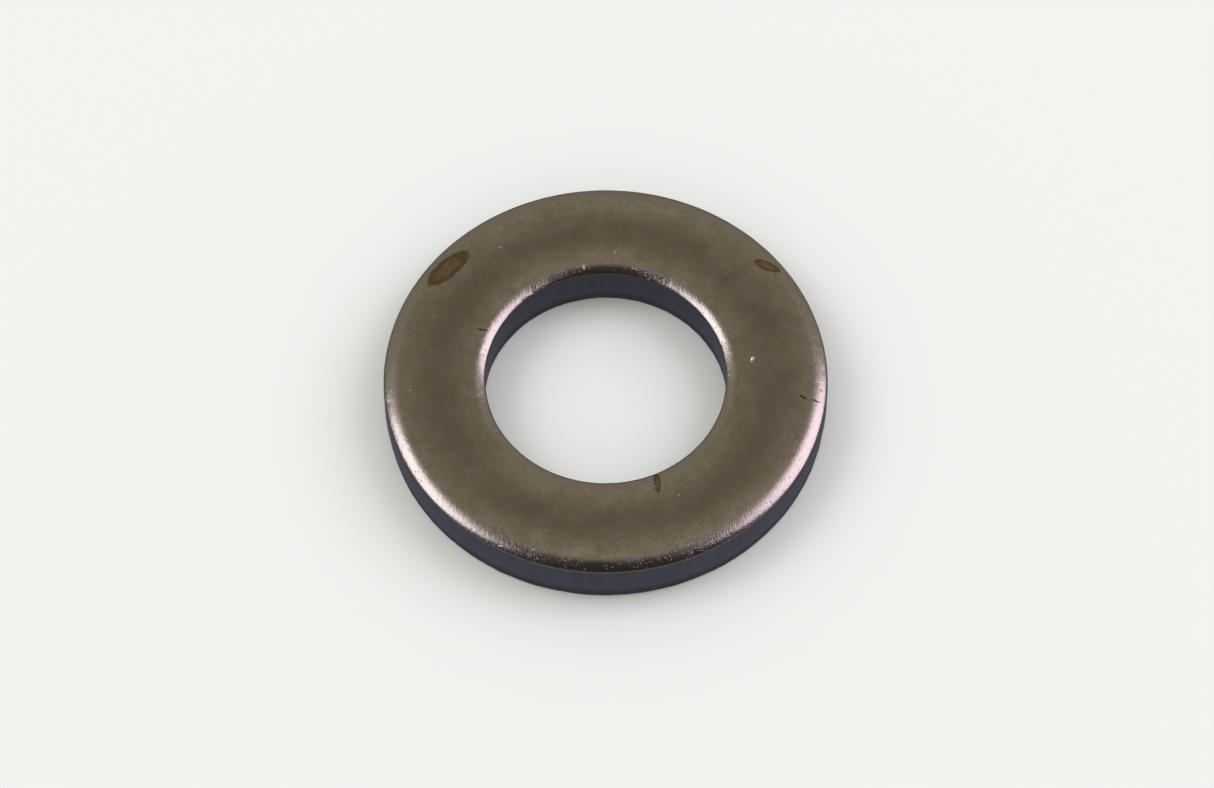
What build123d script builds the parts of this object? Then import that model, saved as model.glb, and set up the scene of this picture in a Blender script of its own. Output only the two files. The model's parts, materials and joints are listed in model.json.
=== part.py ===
"""A plain flat washer for a 12 mm bolt, blanked from steel strip by one stroke of a compound die.

Millimetres, +Z up. The origin is on the washer's axis, in the plane of its lower face.

The die leaves the same marks on the outer wall and on the wall of the hole. The upper edge is rolled, where
the strip was pulled down before it was cut. Below the roll a stretch of the wall is burnished, upright and
true to size. Below that the steel tore, so the ring is a little narrower there, and the tumbler has rounded
the lower edge.
"""

from build123d import *

import os
from math import radians, sin, tan

# Driving dimensions: the 12 mm size of the thick plain washer used with high-strength bolts.
hole_diameter = 13.0
outer_diameter = 24.0
thickness = 3.0

# The upper face is flat in the middle and falls to the rolled edges. Slopes are in degrees below level.
land_width = 1.6
crown_slope = 3.0
shoulder_slope = 30.0

# A rolled edge is a wide shoulder and a tight nose. The die pulled the outer edge down more than the hole's.
outer_shoulder_radius = 1.7
outer_nose_radius = 0.22
hole_shoulder_radius = 1.3
hole_nose_radius = 0.15

# The walls under the rolled edges.
burnished_height = 1.3
torn_lean = 3.5
lower_edge_radius = 0.15

hole_radius = hole_diameter / 2
outer_radius = outer_diameter / 2
mid_radius = (hole_radius + outer_radius) / 2


def roll_width(shoulder_radius, nose_radius):
    """How far a rolled edge reaches in from its wall, measured along the face."""
    shoulder = shoulder_radius * (sin(radians(shoulder_slope)) - sin(radians(crown_slope)))
    nose = nose_radius * (1 - sin(radians(shoulder_slope)))
    return shoulder + nose


def crown_radius(rolled_width):
    """The large radius by which the face falls from its flat land to the start of the roll."""
    crown_width = outer_radius - rolled_width - mid_radius - land_width / 2
    return crown_width / sin(radians(crown_slope))


def face_and_roll(shoulder_radius, nose_radius):
    """The outline from the middle of the upper face, out over the rolled edge, to the top of the wall."""
    face_radius = crown_radius(roll_width(shoulder_radius, nose_radius))
    land = Line((mid_radius, thickness), (mid_radius + land_width / 2, thickness))
    crown = JernArc(land @ 1, land % 1, face_radius, -crown_slope)
    shoulder = JernArc(crown @ 1, crown % 1, shoulder_radius, crown_slope - shoulder_slope)
    nose = JernArc(shoulder @ 1, shoulder % 1, nose_radius, shoulder_slope - 90)
    return [land, crown, shoulder, nose]


def wall_and_seat(wall_top):
    """The outline from the top of the outer wall down to the lower face, and in to its middle."""
    torn_height = wall_top.Y - burnished_height
    lower_corner = (outer_radius - torn_height * tan(radians(torn_lean)), 0)
    burnished = Line(wall_top, (outer_radius, torn_height))
    torn = Line((outer_radius, torn_height), lower_corner)
    seat = Line(lower_corner, (mid_radius, 0))
    return [burnished, torn, seat]


def half_outline(shoulder_radius, nose_radius):
    """The outline from the middle of the upper face round an outer wall to the middle of the lower face."""
    upper = face_and_roll(shoulder_radius, nose_radius)
    return Curve() + upper + wall_and_seat(upper[-1] @ 1)


def ring_section():
    """The section of the ring, in X and Y. The hole's half is an outer half mirrored about the ring's middle."""
    outer_half = half_outline(outer_shoulder_radius, outer_nose_radius)
    hole_half = mirror(half_outline(hole_shoulder_radius, hole_nose_radius), Plane.YZ.offset(mid_radius))
    section = make_face(outer_half.edges() + hole_half.edges())
    lower_corners = section.vertices().group_by(Axis.Y)[0].sort_by(Axis.X)
    return fillet([lower_corners[0], lower_corners[-1]], lower_edge_radius)


def flat_washer():
    """The washer: its section stood up in the XZ plane and turned round the bolt's axis."""
    return revolve(Plane.XZ * ring_section(), Axis.Z)


os.makedirs("parts", exist_ok=True)
export_step(flat_washer(), "parts/flat_washer.step")
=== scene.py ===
"""The looks of the flat washer: one ring of tumbled steel on a pale floor, in soft light from both sides.

Lengths are in millimetres, and become metres where a mesh or the camera is made; only the room's are in
metres from the start. Angles are in degrees. A clock angle is measured clockwise, seen from above, from the
side of the washer away from the camera.
"""

import json
import math
from collections import namedtuple
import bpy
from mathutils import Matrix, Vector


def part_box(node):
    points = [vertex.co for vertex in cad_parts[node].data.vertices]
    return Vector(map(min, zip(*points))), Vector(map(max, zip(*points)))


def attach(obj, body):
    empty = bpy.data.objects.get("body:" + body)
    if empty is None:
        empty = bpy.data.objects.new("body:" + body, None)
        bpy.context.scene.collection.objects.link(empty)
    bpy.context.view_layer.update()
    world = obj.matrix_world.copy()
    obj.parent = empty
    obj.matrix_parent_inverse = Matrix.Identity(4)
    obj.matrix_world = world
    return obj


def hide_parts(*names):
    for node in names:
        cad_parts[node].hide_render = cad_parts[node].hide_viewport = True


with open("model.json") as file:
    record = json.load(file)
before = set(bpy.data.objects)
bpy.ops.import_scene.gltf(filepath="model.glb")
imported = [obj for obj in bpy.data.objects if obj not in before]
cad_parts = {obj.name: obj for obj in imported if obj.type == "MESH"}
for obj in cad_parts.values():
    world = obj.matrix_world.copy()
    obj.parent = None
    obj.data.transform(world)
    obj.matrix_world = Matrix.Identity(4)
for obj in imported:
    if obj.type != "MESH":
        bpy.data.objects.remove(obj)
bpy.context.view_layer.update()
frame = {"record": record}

from types import SimpleNamespace

import bpy
import numpy as np
from mathutils import Matrix, Vector, noise

MM = 0.001

# The ring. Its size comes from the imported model, and its section repeats the CAD's.
ring_low, ring_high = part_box("flat_washer")
bolt_hole = next(m for m in frame["record"]["mounts"] if m["name"] == "bolt_hole")
outer_radius = round((ring_high.y - ring_low.y) / 2 / MM, 2)
hole_radius = bolt_hole["dims"]["r_mm"]
burnished_height = bolt_hole["dims"]["length_mm"]
thickness = round((ring_high.z - ring_low.z) / MM, 2)
mid_radius = (hole_radius + outer_radius) / 2
land_width = 1.6
crown_slope = 3.0
shoulder_slope = 30.0
outer_shoulder_radius = 1.7
outer_nose_radius = 0.22
hole_shoulder_radius = 1.3
hole_nose_radius = 0.15
torn_lean = 3.5
lower_edge_radius = 0.15

# The mesh has this many columns round the ring. With the rows below it stays under 200,000 triangles.
columns = 960
rows_of = {"land": 4, "crown": 6, "shoulder": 8, "nose": 7, "burnished": 5, "torn": 13, "edge": 4, "seat": 5}

# Relief cut into the mesh, in millimetres: slight waves, and the torn wall's mean depth and its unevenness.
face_wave = 0.004
roll_wave = 0.004
torn_depth = 0.02
torn_fine_relief = 0.014
torn_coarse_relief = 0.012

# How far the line above the torn wall rises and falls, in long waves and in short ones.
tear_long_rise = 0.16
tear_short_rise = 0.07

# Small dents that the tumbler left along the rolled edges. The count is for each edge.
knock_count = 40
knock_seed = 12
knock_rings = (outer_radius - 0.3, hole_radius + 0.25)
knock_spread = 0.22
knock_sizes = (0.09, 0.22)
knock_depths = (0.003, 0.011)
knock_lowest = thickness * 0.6

# The strip was rolled in this direction, a clock angle, and its faces keep the fine grain of the rolls.
grain_clock = -6

# The face is darkest on this ring, a little inside the middle of the face: a painted shade over the tarnish.
painted_shade_radius = mid_radius - 0.12

Stretch = namedtuple("Stretch", "name length radius slope")
Row = namedtuple("Row", "radius height slope stretch share")
Mark = namedtuple("Mark", "clock radius length width slant")
Dent = namedtuple("Dent", "clock radius size depth")

# Marks that this one washer carries: dried drops of oil, dark scores, nicks from the tumbler, and a stretch
# of the hole's edge that it frosted. The nicks and the frosted specks are painted near white: bare metal and
# painted glints. A mark lies along the ring, or turned from that by its slant.
stains = [
    Mark(clock=308.5, radius=10.95, length=3.1, width=1.2, slant=-8),
    Mark(clock=52.1, radius=11.19, length=1.6, width=0.62, slant=27),
    Mark(clock=157.6, radius=7.17, length=1.35, width=0.38, slant=72),
]
scores = [
    Mark(clock=293.5, radius=7.29, length=0.7, width=0.13, slant=104),
    Mark(clock=97.6, radius=10.7, length=0.62, width=0.15, slant=60),
    Mark(clock=98.1, radius=11.4, length=0.5, width=0.12, slant=80),
]
glinting_nicks = [
    Mark(clock=83.2, radius=8.0, length=0.45, width=0.19, slant=-26),
    Mark(clock=350.4, radius=6.95, length=0.34, width=0.12, slant=90),
    Mark(clock=265.2, radius=10.55, length=0.14, width=0.12, slant=0),
    Mark(clock=3.9, radius=7.78, length=0.26, width=0.08, slant=85),
    Mark(clock=325, radius=9.93, length=0.2, width=0.1, slant=-30),
    Mark(clock=152.5, radius=8.4, length=0.15, width=0.08, slant=35),
    Mark(clock=208.8, radius=11.75, length=0.3, width=0.16, slant=15),
    Mark(clock=200.1, radius=11.34, length=0.18, width=0.12, slant=50),
    Mark(clock=163, radius=11.55, length=0.11, width=0.07, slant=-20),
    Mark(clock=157, radius=11.7, length=0.12, width=0.08, slant=30),
    Mark(clock=153.6, radius=11.42, length=0.11, width=0.09, slant=0),
]
frosted_glints = [
    Mark(clock=24, radius=6.82, length=3.0, width=0.5, slant=0),
]


def at_clock(clock, radius, height=0.0):
    """The point at that clock angle and radius."""
    turn = math.radians(clock)
    return Vector((radius * math.sin(turn), radius * math.cos(turn), height))


# ---- The section ----------------------------------------------------------------------------------------


def half_section(shoulder_radius, nose_radius):
    """The rows of the mesh from the middle of the upper face, over the outer wall, to the middle of the seat.

    A slope is the outline's, below the horizontal: 0 along the face, 90 down the wall, 180 back along the
    seat.
    """
    crown_turn, shoulder_turn = math.radians(crown_slope), math.radians(shoulder_slope)
    roll_width = shoulder_radius * (math.sin(shoulder_turn) - math.sin(crown_turn))
    roll_width += nose_radius * (1 - math.sin(shoulder_turn))
    crown_radius = (outer_radius - roll_width - mid_radius - land_width / 2) / math.sin(crown_turn)
    drop = crown_radius * (1 - math.cos(crown_turn))
    drop += shoulder_radius * (math.cos(crown_turn) - math.cos(shoulder_turn))
    drop += nose_radius * math.cos(shoulder_turn)
    edge_height = lower_edge_radius * (1 - math.sin(math.radians(torn_lean)))
    torn_height = thickness - drop - burnished_height - edge_height
    stretches = [
        Stretch("land", land_width / 2, 0, 0),
        Stretch("crown", 0, crown_radius, crown_slope),
        Stretch("shoulder", 0, shoulder_radius, shoulder_slope),
        Stretch("nose", 0, nose_radius, 90),
        Stretch("burnished", burnished_height, 0, 90),
        Stretch("torn", torn_height / math.cos(math.radians(torn_lean)), 0, 90 + torn_lean),
        Stretch("edge", 0, lower_edge_radius, 180),
    ]
    rows = []
    radius, height, slope = mid_radius, thickness, 0.0
    for stretch in stretches:
        start = radius, height, slope if stretch.radius else stretch.slope
        for step in range(rows_of[stretch.name]):
            share = step / rows_of[stretch.name]
            rows.append(Row(*along(stretch, *start, share), stretch.name, share))
        radius, height, slope = along(stretch, *start, 1.0)
    for step in range(rows_of["seat"] + 1):
        share = step / rows_of["seat"]
        rows.append(Row(radius + (mid_radius - radius) * share, 0.0, 180.0, "seat", share))
    return rows


def along(stretch, radius, height, slope, share):
    """The radius, height and slope at a share of the way along a stretch that starts from those three."""
    turn = math.radians(slope)
    if not stretch.radius:
        run = stretch.length * share
        return radius + run * math.cos(turn), height - run * math.sin(turn), slope
    slope_here = slope + (stretch.slope - slope) * share
    turn_here = math.radians(slope_here)
    out = stretch.radius * (math.sin(turn_here) - math.sin(turn))
    down = stretch.radius * (math.cos(turn) - math.cos(turn_here))
    return radius + out, height - down, slope_here


# ---- The mesh -------------------------------------------------------------------------------------------


def smooth_step(values, low, high):
    """0 below low, 1 above high, and an eased ramp between."""
    share = np.clip((values - low) / (high - low), 0, 1)
    return share * share * (3 - 2 * share)


def bumps(points, size, seed):
    """Smooth noise from about -1 to 1 at each point, whose bumps are about size across."""
    shift = Vector((seed * 17.3, seed * 5.9, seed * 11.1))
    values = [noise.noise(Vector(point) / size + shift) for point in points.reshape(-1, 3)]
    return np.array(values).reshape(points.shape[:-1])


def wall_shares(rows, rising, falling=None, full=None):
    """A share for each row: 0 to 1 down the rising stretch, 1 to 0 down the falling one, 1 on the full."""
    shares = []
    for row in rows:
        if row.stretch == rising:
            shares.append(row.share)
        elif row.stretch == falling:
            shares.append(1 - row.share)
        else:
            shares.append(float(row.stretch == full))
    return np.array(shares)


def ring_grid():
    """The section turned round the axis: its rows, and the points and outward normals as arrays."""
    outer_half = half_section(outer_shoulder_radius, outer_nose_radius)
    hole_half = half_section(hole_shoulder_radius, hole_nose_radius)[-2:0:-1]
    hole_half = [row._replace(radius=2 * mid_radius - row.radius) for row in hole_half]
    rows = outer_half + hole_half
    side = np.array([1.0] * len(outer_half) + [-1.0] * len(hole_half))
    slope = np.radians([row.slope for row in rows])
    turn = np.linspace(0, 2 * math.pi, columns, endpoint=False)
    outward = np.stack([np.sin(turn), np.cos(turn), np.zeros(columns)], -1)
    upward = np.array([0.0, 0.0, 1.0])
    radius = np.array([row.radius for row in rows])[:, None, None]
    height = np.array([row.height for row in rows])[:, None, None]
    points = radius * outward + height * upward
    normals = (side * np.sin(slope))[:, None, None] * outward + np.cos(slope)[:, None, None] * upward
    return rows, points, normals


def tear_line(rows, points):
    """Moves the line between the burnished and the torn wall up and down, as an uneven break leaves it."""
    share = wall_shares(rows, rising="burnished", falling="torn")
    level = points * (1, 1, 0)
    lift = tear_long_rise * bumps(level, size=1.7, seed=3)
    lift = lift + tear_short_rise * bumps(level, size=0.45, seed=4)
    points[..., 2] += lift * share[:, None]


def relief(rows, points):
    """How deep each point lies under the plain section, in millimetres."""
    slope = np.array([row.slope for row in rows])
    below_step = wall_shares(rows, rising="torn", full="edge")
    faces = face_wave + face_wave * bumps(points, size=5.0, seed=1)
    rolled = smooth_step(slope, 8, 25) * (1 - smooth_step(slope, 80, 90))
    rolls = rolled[:, None] * (roll_wave + roll_wave * bumps(points, size=0.8, seed=2))
    tall = points * (1, 1, 0.45)
    rough = torn_depth + torn_fine_relief * bumps(tall, size=0.3, seed=5)
    rough = rough + torn_coarse_relief * bumps(tall, size=0.9, seed=6)
    torn = smooth_step(below_step, 0, 0.5)[:, None] * rough
    return faces + rolls + torn + knocks(points)


def knocks(points):
    """The depth of small dents spread by chance along both rolled edges."""
    chance = np.random.default_rng(knock_seed)
    dents = []
    for ring_radius in knock_rings:
        for _ in range(knock_count):
            radius = ring_radius + chance.uniform(-knock_spread, knock_spread)
            clock = chance.uniform(0, 360)
            size = chance.uniform(*knock_sizes)
            dents.append(Dent(clock, radius, size, chance.uniform(*knock_depths)))
    upper = points[..., 2] > knock_lowest
    depth = np.zeros(points.shape[:2])
    for dent in dents:
        gap = (points - np.array(at_clock(dent.clock, dent.radius)))[..., :2]
        depth += dent.depth * np.exp(-(gap**2).sum(-1) / dent.size**2) * upper
    return depth


def zone_weights(rows):
    """For each row, how far it belongs to the rolled edges, to the burnished walls and to the torn walls."""
    slope = np.array([row.slope for row in rows])
    torn = wall_shares(rows, rising="torn", falling="edge")
    torn = smooth_step(torn, 0, 0.8)
    burnished = smooth_step(slope, 45, 75) * (slope <= 90 + torn_lean) * (1 - torn)
    rolled = smooth_step(slope, 2, 18) * (1 - burnished) * (slope < 90)
    return {"rolled": rolled, "burnished": burnished, "torn": torn}


def make_ring():
    """The washer's mesh: a closed grid of quads, in metres, with its zones stored on its points."""
    rows, points, normals = ring_grid()
    tear_line(rows, points)
    points -= normals * relief(rows, points)[..., None]
    index = np.arange(len(rows) * columns).reshape(len(rows), columns)
    next_row = np.roll(index, -1, axis=0)
    quads = np.stack([index, np.roll(index, -1, 1), np.roll(next_row, -1, 1), next_row], -1)
    mesh = bpy.data.meshes.new("flat_washer_ring")
    mesh.from_pydata((points.reshape(-1, 3) * MM).tolist(), [], quads.reshape(-1, 4).tolist())
    for name, weights in zone_weights(rows).items():
        attribute = mesh.attributes.new(name, "FLOAT", "POINT")
        attribute.data.foreach_set("value", np.repeat(weights, columns).astype(np.float32))
    mesh.shade_smooth()
    ring = bpy.data.objects.new("flat_washer_ring", mesh)
    bpy.context.scene.collection.objects.link(ring)
    return ring


# ---- Shader nodes ---------------------------------------------------------------------------------------


class Graph:
    """A few short words for making the shader nodes of a material or a world, its owner.

    A value is a number, a colour or another node's output.
    """

    def __init__(self, owner):
        owner.use_nodes = True
        self.tree = owner.node_tree
        self.tree.nodes.clear()

    def node(self, kind, inputs=None, **settings):
        made = self.tree.nodes.new("ShaderNode" + kind)
        for name, value in settings.items():
            setattr(made, name, value)
        for name, value in (inputs or {}).items():
            if isinstance(value, bpy.types.NodeSocket):
                self.tree.links.new(value, made.inputs[name])
            else:
                made.inputs[name].default_value = value
        return made

    def math(self, operation, *values):
        return self.node("Math", dict(enumerate(values)), operation=operation).outputs[0]

    def add(self, first, *others):
        for other in others:
            first = self.math("ADD", first, other)
        return first

    def times(self, first, *others):
        for other in others:
            first = self.math("MULTIPLY", first, other)
        return first

    def vector(self, operation, *values):
        made = self.node("VectorMath", dict(enumerate(values)), operation=operation)
        return made.outputs["Value" if operation == "LENGTH" else "Vector"]

    def stretched(self, vector, clock, scale, shift=(0.0, 0.0, 0.0)):
        """A place as seen along a clock angle: Y runs that way, and each axis is scaled and moved."""
        inputs = {"Vector": vector, "Angle": math.radians(clock)}
        turned = self.node("VectorRotate", inputs, rotation_type="Z_AXIS").outputs[0]
        return self.vector("ADD", self.vector("MULTIPLY", turned, scale), shift)

    def ramp(self, value, low, high, start=0.0, end=1.0):
        """Eases from start to end as value goes from low to high."""
        inputs = {0: value, 1: low, 2: high, 3: start, 4: end}
        return self.node("MapRange", inputs, interpolation_type="SMOOTHSTEP").outputs[0]

    def noise(self, vector, scale, detail=2.0, roughness=0.5):
        inputs = {"Vector": vector, "Scale": scale, "Detail": detail, "Roughness": roughness}
        return self.node("TexNoise", inputs).outputs[0]

    def uneven(self, place, scale, detail, amount):
        """Noise about 0 that spans that amount."""
        centred = self.math("SUBTRACT", self.noise(place, scale, detail), 0.5)
        return self.times(centred, amount)

    def mix(self, share, first, second):
        """A number between two numbers."""
        return self.node("Mix", {0: share, 2: first, 3: second}, data_type="FLOAT").outputs[0]

    def blend(self, share, first, second):
        """A colour between two colours."""
        made = self.node("Mix", {0: share, 6: colour(first), 7: colour(second)}, data_type="RGBA")
        return made.outputs[2]

    def either(self, share, first, second):
        """The first node's shader where share is 0, and the second's where it is 1."""
        return self.node("MixShader", {0: share, 1: first.outputs[0], 2: second.outputs[0]})

    def zone(self, name):
        """How far the surface belongs to that zone of the mesh, from 0 to 1."""
        return self.node("Attribute", attribute_name=name).outputs["Fac"]


def colour(value):
    """Three numbers as the four that a colour socket takes; anything else as it is."""
    return (*value, 1.0) if isinstance(value, tuple) and len(value) == 3 else value


# ---- Marks on the steel ---------------------------------------------------------------------------------


def patch(graph, place, mark, wobble):
    """The distance from a mark's centre in half sizes, so 1 at its edge, which the wobble makes uneven."""
    moved = graph.vector("SUBTRACT", place, tuple(at_clock(mark.clock, mark.radius)))
    scale = (2 / mark.length, 2 / mark.width, 0.0)
    scaled = graph.stretched(moved, mark.clock - mark.slant, scale)
    return graph.add(graph.vector("LENGTH", scaled), wobble)


def stain_masks(graph, place, upper):
    """1 inside the dried drops, and 1 along their edges, where the oil dried thickest."""
    wobble = graph.uneven(place, scale=1.6, detail=3, amount=0.3)
    inside, rims = 0.0, 0.0
    for stain in stains:
        gap = patch(graph, place, stain, wobble)
        inside = graph.math("MAXIMUM", inside, graph.ramp(gap, 0.86, 1.06, start=1.0, end=0.0))
        rim = graph.times(graph.ramp(gap, 0.3, 0.85), graph.ramp(gap, 0.85, 1.04, start=1.0, end=0.0))
        rims = graph.math("MAXIMUM", rims, rim)
    return graph.times(inside, upper), graph.times(rims, upper)


def cut_mask(graph, place, upper, cuts, floor, unevenness):
    """1 on the floor of marks cut into the upper face, and 0 outside. floor is its share of their size."""
    wobble = graph.uneven(place, scale=5.0, detail=2, amount=unevenness)
    inside = 0.0
    for cut in cuts:
        depth = graph.ramp(patch(graph, place, cut, wobble), floor, 1.1, start=1.0, end=0.0)
        inside = graph.math("MAXIMUM", inside, depth)
    return graph.times(inside, upper)


def hairlines(graph, place):
    """Fine scratches in several directions, from 0 to 1."""
    lines = 0.0
    for clock, seed in ((20, 3.0), (75, 8.0), (130, 14.0), (165, 21.0)):
        drawn = graph.stretched(place, clock, scale=(3.2, 0.22, 1.0), shift=(seed, seed * 2, 0.0))
        middle = graph.math("SUBTRACT", graph.noise(drawn, scale=1.0, detail=1.0), 0.5)
        line = graph.ramp(graph.math("ABSOLUTE", middle), 0.0, 0.007, start=1.0, end=0.0)
        elsewhere = graph.vector("ADD", place, (seed, 0.0, seed))
        patchy = graph.ramp(graph.noise(elsewhere, scale=0.55, detail=1.0), 0.54, 0.62)
        lines = graph.math("MAXIMUM", lines, graph.times(line, patchy))
    return lines


def specks(graph, place, scale, share, size, shift):
    """Small round specks, from 0 to 1. share is how many of the cells hold one."""
    moved = graph.vector("ADD", place, shift)
    cells = graph.node("TexVoronoi", {"Vector": moved, "Scale": scale}, feature="F1")
    pick = graph.node("SeparateColor", {0: cells.outputs["Color"]}).outputs[0]
    chosen = graph.ramp(pick, 1 - share, 1 - share + 0.01)
    near = graph.ramp(cells.outputs["Distance"], size * 0.4, size, start=1.0, end=0.0)
    return graph.times(chosen, near)


# ---- The steel ------------------------------------------------------------------------------------------

# Colours of the faces and the rolled edges.
# The faces' colours hold a painted shade on one ring and a painted sheen beside it, most along the grain.
tarnish_and_painted_shade = (0.27, 0.227, 0.161)
rubbed_and_sheen_across_grain = (0.392, 0.338, 0.253)
rubbed_and_sheen_along_grain = (0.525, 0.453, 0.339)
dark_cloud = (0.24, 0.205, 0.155)
rusty_cloud = (0.36, 0.285, 0.21)
bright_roll = (0.46, 0.405, 0.35)

# Colours of the walls, partly their own and partly painted shade and a painted bluish reflection.
burnished_dark = (0.24, 0.245, 0.26)
burnished_light = (0.3, 0.3, 0.32)
torn_dark = (0.145, 0.15, 0.167)
torn_light = (0.2, 0.2, 0.22)

# The hole's wall is painted darker, a painted shade, by this share, and it fades out this far from it, in
# millimetres.
hole_shade = (0.07, 0.08, 0.065)
hole_shade_share = 0.35
hole_shade_reach = 0.15

# Colours of the marks.
dried_oil = (0.18, 0.135, 0.062)
dried_oil_rim = (0.12, 0.085, 0.02)
score_dirt = (0.05, 0.04, 0.025)
pale_speck = (0.85, 0.78, 0.7)
dark_speck = (0.05, 0.04, 0.03)
# Near white on the nicks and the frosted specks: bare metal and painted glints.
bare_metal_and_glint = (0.9, 0.84, 0.82)

# Roughness of each finish. A pair is its smoothest and its roughest places.
face_roughness = (0.27, 0.35)
roll_roughness = 0.21
burnished_roughness = (0.28, 0.42)
torn_roughness = (0.45, 0.62)
stain_roughness = 0.42
nick_roughness = 0.5

# Relief too fine for the mesh, in millimetres. What is cut in is negative.
peel_height = 0.003
grain_height = 0.009
streak_height = 0.005
break_height = 0.05
hairline_cut = -0.0012
score_cut = -0.0036
pit_cut = -0.007
nick_cut = -0.05

# The grain and the marks of the upper face fade out between these two depths below it.
upper_fade = (0.5, 0.9)


def steel_patterns(graph):
    """What the colour, the roughness and the relief of the steel share: places, zones, textures and marks."""
    object_place = graph.node("TexCoord").outputs["Object"]
    place = graph.vector("MULTIPLY", object_place, (1 / MM, 1 / MM, 1 / MM))
    height = graph.node("SeparateXYZ", {0: place}).outputs["Z"]
    upper = graph.ramp(height, thickness - upper_fade[1], thickness - upper_fade[0])
    rolled = graph.zone("rolled")
    grain_place = graph.stretched(place, grain_clock, scale=(14.0, 2.6, 4.0))
    streak_place = graph.vector("MULTIPLY", place, (5.0, 5.0, 0.4))
    stained, stain_rims = stain_masks(graph, place, upper)
    nicks_and_glints = cut_mask(graph, place, upper, glinting_nicks, floor=0.0, unevenness=0.6)
    frost_glints = cut_mask(graph, place, upper, frosted_glints, floor=0.5, unevenness=0.6)
    flecks = specks(graph, place, scale=9.0, share=0.6, size=0.4, shift=(5.0, 9.0, 2.0))
    pecks = specks(graph, place, scale=6.0, share=0.2, size=0.3, shift=(11.0, 3.0, 5.0))
    return SimpleNamespace(
        place=place,
        radius=graph.vector("LENGTH", graph.vector("MULTIPLY", place, (1.0, 1.0, 0.0))),
        upper=upper,
        rolled=rolled,
        burnished=graph.zone("burnished"),
        torn=graph.zone("torn"),
        clouds=graph.noise(place, scale=0.8, detail=4, roughness=0.6),
        fine_clouds=graph.noise(place, scale=3.6, detail=4, roughness=0.9),
        rust=graph.noise(place, scale=0.5, detail=2),
        grain=graph.noise(grain_place, scale=1.0, detail=3, roughness=0.65),
        streaks=graph.noise(streak_place, scale=1.0, detail=4, roughness=0.7),
        crystals=graph.noise(place, scale=5.0, detail=4, roughness=0.65),
        lines=hairlines(graph, place),
        pale=specks(graph, place, scale=1.5, share=0.2, size=0.07, shift=(0.0, 0.0, 0.0)),
        dark=specks(graph, place, scale=1.1, share=0.16, size=0.06, shift=(31.0, 7.0, 3.0)),
        pecks=graph.times(pecks, rolled),
        stained=stained,
        stain_rims=stain_rims,
        scored=cut_mask(graph, place, upper, scores, floor=0.5, unevenness=1.2),
        nicks_and_glints=graph.math("MAXIMUM", nicks_and_glints, graph.times(flecks, frost_glints)),
    )


def face_colour(graph, steel):
    """The tarnish of the faces, with painted shade on one ring and painted sheen beside it, most along the
    grain.

    along_grain is 1 at the two places where the grain runs straight out from the axis, and 0 halfway between.
    """
    turned = graph.stretched(steel.place, grain_clock, (1.0, 1.0, 1.0))
    along_grain = graph.math("DIVIDE", graph.node("SeparateXYZ", {0: turned}).outputs["Y"], steel.radius)
    along_grain = graph.math("POWER", along_grain, 2.0)
    # Painted shade is darkest on one ring; painted sheen brightens away from it and along the grain's axis.
    off_shade_ring = graph.math("ABSOLUTE", graph.math("SUBTRACT", steel.radius, painted_shade_radius))
    worn_and_sheen = graph.add(off_shade_ring, graph.times(graph.math("SUBTRACT", steel.clouds, 0.5), 0.75))
    rubbed_and_sheen = graph.blend(along_grain, rubbed_and_sheen_across_grain, rubbed_and_sheen_along_grain)
    face = graph.blend(graph.ramp(worn_and_sheen, 0.1, 2.2), tarnish_and_painted_shade, rubbed_and_sheen)
    face = graph.blend(graph.ramp(steel.fine_clouds, 0.3, 0.7, end=0.6), face, dark_cloud)
    return graph.blend(graph.ramp(steel.rust, 0.45, 0.7, end=0.4), face, rusty_cloud)


def steel_colour(graph, steel):
    """The colour of each zone, and the marks over it."""
    # The walls' colours hold painted shade and a painted bluish reflection as well as their own tone.
    burnished = graph.blend(graph.ramp(steel.streaks, 0.3, 0.7), burnished_dark, burnished_light)
    torn = graph.blend(graph.ramp(steel.crystals, 0.35, 0.65), torn_dark, torn_light)
    base = graph.blend(steel.rolled, face_colour(graph, steel), bright_roll)
    base = graph.blend(steel.burnished, base, burnished)
    base = graph.blend(steel.torn, base, torn)
    # Painted shade in the hole: its wall is darkened.
    hole_shade_end = hole_radius + hole_shade_reach
    in_hole = graph.ramp(steel.radius, hole_radius, hole_shade_end, start=hole_shade_share, end=0.0)
    base = graph.blend(in_hole, base, hole_shade)
    patchy = graph.ramp(steel.fine_clouds, 0.35, 0.65, start=0.65)
    base = graph.blend(graph.times(steel.stained, patchy), base, dried_oil)
    base = graph.blend(graph.times(steel.stain_rims, 0.6), base, dried_oil_rim)
    base = graph.blend(graph.times(steel.scored, 0.85), base, score_dirt)
    base = graph.blend(graph.times(steel.pale, 0.7), base, pale_speck)
    # Painted glints: the nicks and the frosted specks turn near white.
    base = graph.blend(graph.ramp(steel.nicks_and_glints, 0.0, 0.4), base, bare_metal_and_glint)
    return graph.blend(graph.times(steel.dark, 0.65), base, dark_speck)


def steel_roughness(graph, steel):
    """Satin faces, smooth rolls, streaked burnish and coarse torn metal, with dull stains and nicks."""
    roughness = graph.ramp(steel.clouds, 0.3, 0.7, *face_roughness)
    roughness = graph.mix(steel.rolled, roughness, roll_roughness)
    streaked = graph.ramp(steel.streaks, 0.3, 0.7, *burnished_roughness)
    roughness = graph.mix(steel.burnished, roughness, streaked)
    roughness = graph.mix(steel.torn, roughness, graph.ramp(steel.crystals, 0.3, 0.7, *torn_roughness))
    roughness = graph.mix(steel.stained, roughness, stain_roughness)
    return graph.mix(steel.nicks_and_glints, roughness, nick_roughness)


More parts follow.
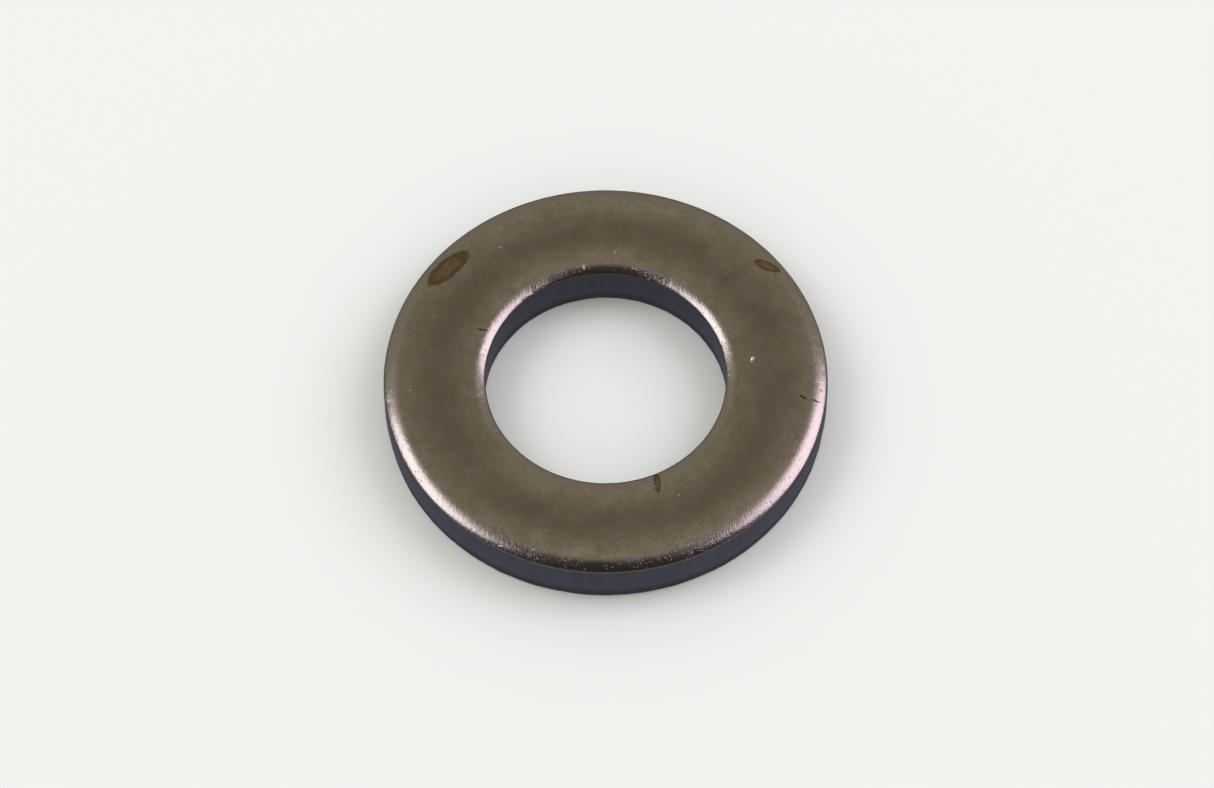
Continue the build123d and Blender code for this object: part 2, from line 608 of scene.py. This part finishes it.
def steel_relief(graph, steel):
    """The fine relief of the surface, as the normal that the shader takes."""
    peel = graph.times(graph.noise(steel.place, scale=7.0, detail=3, roughness=0.6), peel_height)
    grain = graph.times(steel.grain, graph.times(steel.upper, grain_height))
    streaks = graph.times(steel.streaks, graph.times(steel.burnished, streak_height))
    broken = graph.noise(steel.place, scale=6.5, detail=5, roughness=0.7)
    broken = graph.times(broken, graph.times(steel.torn, break_height))
    cuts = graph.add(graph.times(steel.lines, hairline_cut), graph.times(steel.scored, score_cut))
    pits = graph.times(graph.add(steel.dark, steel.pecks), pit_cut)
    dents = graph.times(steel.nicks_and_glints, nick_cut)
    height = graph.add(peel, grain, streaks, broken, cuts, pits, dents)
    return graph.node("Bump", {"Strength": 1.0, "Distance": MM, "Height": height}).outputs[0]


def make_steel():
    """Tumbled steel: warm tarnish, worn bright rolls, streaked burnished and dark torn walls, painted shade
    and glints.
    """
    material = bpy.data.materials.new("washer_steel")
    graph = Graph(material)
    steel = steel_patterns(graph)
    surface = {
        "Base Color": steel_colour(graph, steel),
        "Metallic": 1.0,
        "Roughness": steel_roughness(graph, steel),
        "Normal": steel_relief(graph, steel),
    }
    shader = graph.node("BsdfPrincipled", surface)
    graph.node("OutputMaterial", {"Surface": shader.outputs[0]})
    return material


# ---- The room -------------------------------------------------------------------------------------------

Lamp = namedtuple("Lamp", "name clock lift width height glow colour")

# The floor and the lamps, in metres. A lamp's clock and lift are the direction in which it stands.
floor_size = 1.2
floor_colour = (0.84, 0.86, 0.78)
lamp_distance = 1.5
lamps = [
    Lamp(name="lamp_left", clock=278, lift=50, width=0.85, height=0.8, glow=2.75, colour=(0.88, 0.86, 1.0)),
    Lamp(name="lamp_right", clock=74, lift=45, width=0.9, height=1.15, glow=2.35, colour=(0.86, 0.76, 1.0)),
]

# The backdrop is as bright as the lit floor. The soft light falls on the floor and not on the steel.
backdrop_colour = (1.0, 1.0, 0.97)
backdrop_glow = 0.905
soft_colour = (1.0, 1.0, 1.0)
soft_glow = 0.72

# What the steel mirrors: a dim warm room, darkest above the camera and cooler low down.
room_far = (0.3, 0.285, 0.23)
room_near = (0.23, 0.22, 0.188)
room_above_camera = (0.018, 0.012, 0.006)
room_low = (0.15, 0.155, 0.195)

# The camera, in millimetres. It looks at the aim, and its roll tilts the picture.
camera_elevation = 60.0
camera_distance = 318.6
camera_roll = -0.28
lens = 174.1
aim = Vector((0.07, 0.0, 0.96))
nearest_seen = 10
farthest_seen = 20000


def make_floor_paint():
    """Plain pale matt paint for the floor."""
    material = bpy.data.materials.new("pale_floor")
    graph = Graph(material)
    shader = graph.node("BsdfDiffuse", {"Color": colour(floor_colour)})
    graph.node("OutputMaterial", {"Surface": shader.outputs[0]})
    return material


def make_floor():
    """A square floor under the washer, which the steel doesn't mirror."""
    half = floor_size / 2
    corners = [(-half, -half), (half, -half), (half, half), (-half, half)]
    mesh = bpy.data.meshes.new("floor")
    mesh.from_pydata([(x, y, ring_low.z) for x, y in corners], [], [(0, 1, 2, 3)])
    mesh.materials.append(make_floor_paint())
    floor = bpy.data.objects.new("floor", mesh)
    bpy.context.scene.collection.objects.link(floor)
    floor.visible_glossy = False


def make_lamp(lamp):
    """A soft rectangular lamp that faces the washer. Its glow is the brightness of its face."""
    light = bpy.data.lights.new(lamp.name, "AREA")
    light.shape = "RECTANGLE"
    light.size = lamp.width
    light.size_y = lamp.height
    light.energy = lamp.glow * math.pi * lamp.width * lamp.height
    light.color = lamp.colour
    made = bpy.data.objects.new(lamp.name, light)
    bpy.context.scene.collection.objects.link(made)
    lift = math.radians(lamp.lift)
    made.location = at_clock(lamp.clock, lamp_distance * math.cos(lift), lamp_distance * math.sin(lift))
    made.rotation_euler = made.location.to_track_quat("Z", "Y").to_euler()
    made.visible_camera = False


def room_colour(graph):
    """The colour of the mirrored room in each direction. Y is away from the camera, and Z is up."""
    way = graph.node("TexCoord").outputs["Generated"]
    height = graph.node("SeparateXYZ", {0: way}).outputs["Z"]
    depth = graph.node("SeparateXYZ", {0: way}).outputs["Y"]
    near = graph.ramp(depth, -0.1, 0.4, start=1.0, end=0.0)
    above = graph.times(near, graph.ramp(height, 0.3, 0.7))
    room = graph.blend(near, room_far, room_near)
    room = graph.blend(above, room, room_above_camera)
    return graph.blend(graph.ramp(height, -0.35, 0.35), room_low, room)


def make_world():
    """Pale to the eye and as general light, and the dim room to what mirrors it."""
    world = bpy.data.worlds.new("room")
    bpy.context.scene.world = world
    graph = Graph(world)
    rays = graph.node("LightPath").outputs
    mirrored = graph.node("Background", {"Color": room_colour(graph), "Strength": 1.0})
    seen = graph.node("Background", {"Color": colour(backdrop_colour), "Strength": backdrop_glow})
    soft = graph.node("Background", {"Color": colour(soft_colour), "Strength": soft_glow})
    light = graph.either(rays["Is Glossy Ray"], soft, mirrored)
    whole = graph.either(rays["Is Camera Ray"], light, seen)
    graph.node("OutputWorld", {"Surface": whole.outputs[0]})


def make_camera():
    """The camera, which looks down at the washer from the side of clock 180."""
    camera = bpy.data.objects.new("camera", bpy.data.cameras.new("camera"))
    bpy.context.scene.collection.objects.link(camera)
    camera.data.lens = lens
    camera.data.clip_start = nearest_seen * MM
    camera.data.clip_end = farthest_seen * MM
    lift = math.radians(camera_elevation)
    back = Vector((0.0, -math.cos(lift), math.sin(lift)))
    tilt = Matrix.Rotation(math.radians(camera_roll), 3, "Z").to_quaternion()
    camera.location = (aim + back * camera_distance) * MM
    camera.rotation_euler = (back.to_track_quat("Z", "Y") @ tilt).to_euler()
    bpy.context.scene.camera = camera


make_camera()
ring = make_ring()
ring.data.materials.append(make_steel())
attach(ring, "root")
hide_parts("flat_washer")
make_floor()
for lamp in lamps:
    make_lamp(lamp)
make_world()
bpy.context.scene.view_settings.view_transform = "Standard"
